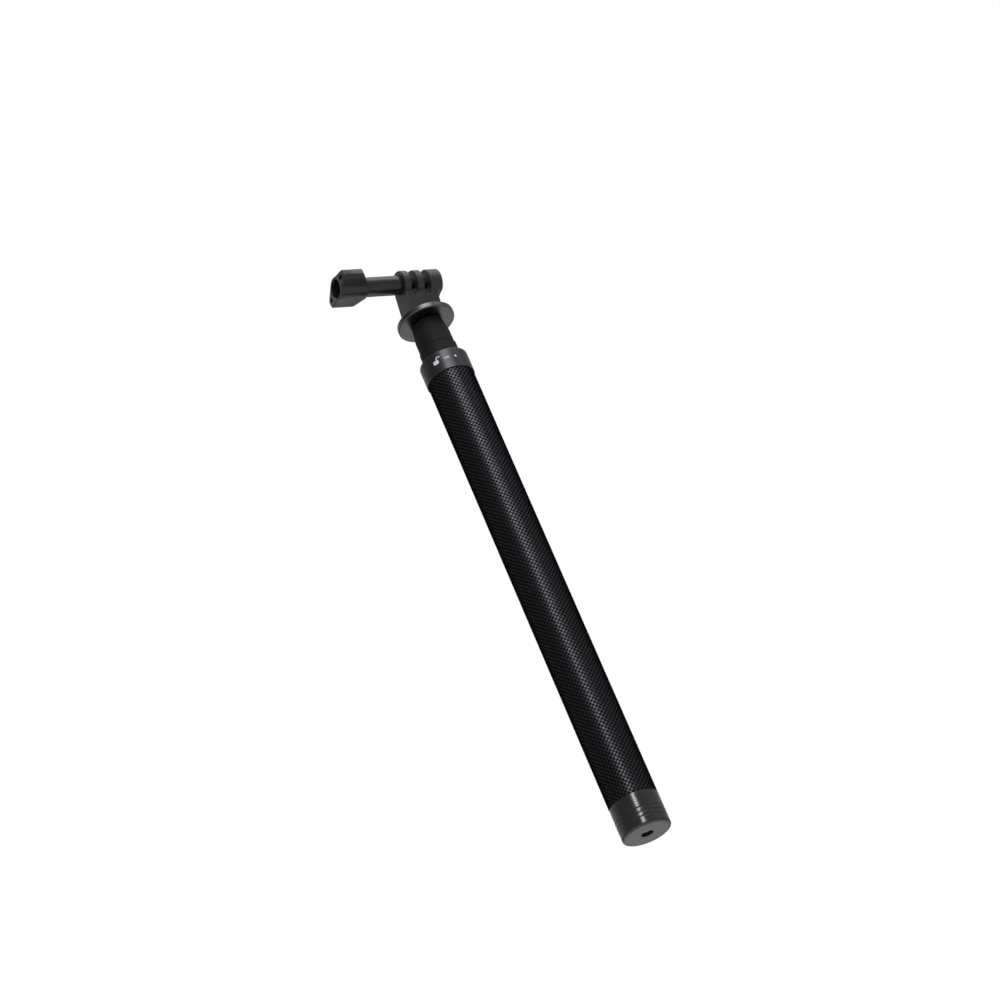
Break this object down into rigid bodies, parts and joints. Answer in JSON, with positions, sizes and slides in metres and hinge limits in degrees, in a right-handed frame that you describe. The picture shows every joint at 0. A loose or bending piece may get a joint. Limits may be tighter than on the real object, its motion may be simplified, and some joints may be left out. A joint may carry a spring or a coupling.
{
  "type": "telescoping selfie stick",
  "caption": "Telescoping carbon-weave selfie stick with a twist-lock collar, quarter-inch stud, locking wheel and three-prong camera fork with a thumb screw, shown collapsed.",
  "frame": {"origin": "middle of the end cap's flat end face, at the mouth of the tripod socket", "axes": "+Z along the stick from the end cap to the camera fork, -X along the thumb screw towards its knob, -Y the side that the fork leans to"},
  "size_m": [0.0617, 0.0315, 0.3383],
  "materials": {
    "anodised_cap": "turned, dark grey anodised",
    "carbon_weave": "lacquered plain-weave carbon fibre, laid at 45 degrees",
    "anodised_collar": "turned, graphite anodised, satin",
    "anodised_tube": "drawn, black anodised",
    "anodised_wheel": "turned, grey anodised",
    "neck_plastic": "moulded, matte black",
    "fork_plastic": "moulded, fine spark-eroded texture",
    "knob_plastic": "moulded, semi-gloss",
    "guide_plastic": "moulded acetal",
    "rubber": "matte",
    "steel": "stainless, rolled",
    "brass": "turned"
  },
  "bodies": {
    "grip": {"end_cap": "anodised_cap", "tripod_thread_insert": "steel", "inner_bumper": "rubber", "grip_tube": "carbon_weave", "collar_base": "anodised_tube", "lock_collet": "guide_plastic"},
    "lock_collar": {"lock_collar": "anodised_collar"},
    "section_1": {"section_tube_1": "anodised_tube", "section_foot_1": "guide_plastic", "section_ferrule_1": "guide_plastic"},
    "section_2": {"section_tube_2": "anodised_tube", "section_foot_2": "guide_plastic", "section_ferrule_2": "guide_plastic"},
    "section_3": {"section_tube_3": "anodised_tube", "section_foot_3": "guide_plastic", "section_ferrule_3": "guide_plastic"},
    "section_4": {"section_tube_4": "anodised_tube", "section_foot_4": "guide_plastic", "section_ferrule_4": "guide_plastic"},
    "head": {"section_tube_5": "anodised_tube", "section_foot_5": "guide_plastic", "neck_shell": "neck_plastic", "head_insert": "steel", "camera_stud": "steel"},
    "locking_wheel": {"locking_wheel": "anodised_wheel"},
    "fork": {"mount_fork": "fork_plastic", "fork_thread_insert": "brass", "hex_nut": "steel"},
    "washer": {"screw_washer": "rubber"},
    "thumb_screw": {"thumb_knob": "knob_plastic", "thumb_bolt": "steel"}
  },
  "joints": [
    {"name": "collar_twist", "type": "hinge", "parent": "grip", "child": "lock_collar", "pos_m": [0, 0, 0.2767], "axis": [0, 0, 1], "range_deg": [0, 60]},
    {"name": "extend_1", "type": "slide", "parent": "grip", "child": "section_1", "axis": [0, 0, 1], "range_m": [0, 0.175]},
    {"name": "extend_2", "type": "slide", "parent": "section_1", "child": "section_2", "axis": [0, 0, 1], "range_m": [0, 0.175]},
    {"name": "extend_3", "type": "slide", "parent": "section_2", "child": "section_3", "axis": [0, 0, 1], "range_m": [0, 0.175]},
    {"name": "extend_4", "type": "slide", "parent": "section_3", "child": "section_4", "axis": [0, 0, 1], "range_m": [0, 0.175]},
    {"name": "extend_5", "type": "slide", "parent": "section_4", "child": "head", "axis": [0, 0, 1], "range_m": [0, 0.175]},
    {"name": "wheel_spin", "type": "hinge", "parent": "head", "child": "locking_wheel", "pos_m": [0, 0, 0.3096], "axis": [0, 0, 1], "continuous": true},
    {"name": "fork_pan", "type": "hinge", "parent": "head", "child": "fork", "pos_m": [0, 0, 0.3115], "axis": [0, 0, 1], "range_deg": [-180, 180]},
    {"name": "screw_back_off", "type": "slide", "parent": "fork", "child": "washer", "axis": [-1, 0, 0], "range_m": [0, 0.00081]},
    {"name": "thumb_screw_turn", "type": "hinge", "parent": "washer", "child": "thumb_screw", "pos_m": [-0.0107, -0.0046, 0.3311], "axis": [-1, 0, 0], "range_deg": [0, 360]}
  ],
  "couplings": [
    {"joint": "screw_back_off", "follows": "thumb_screw_turn", "m_per_rad": 0.00012732}
  ]
}
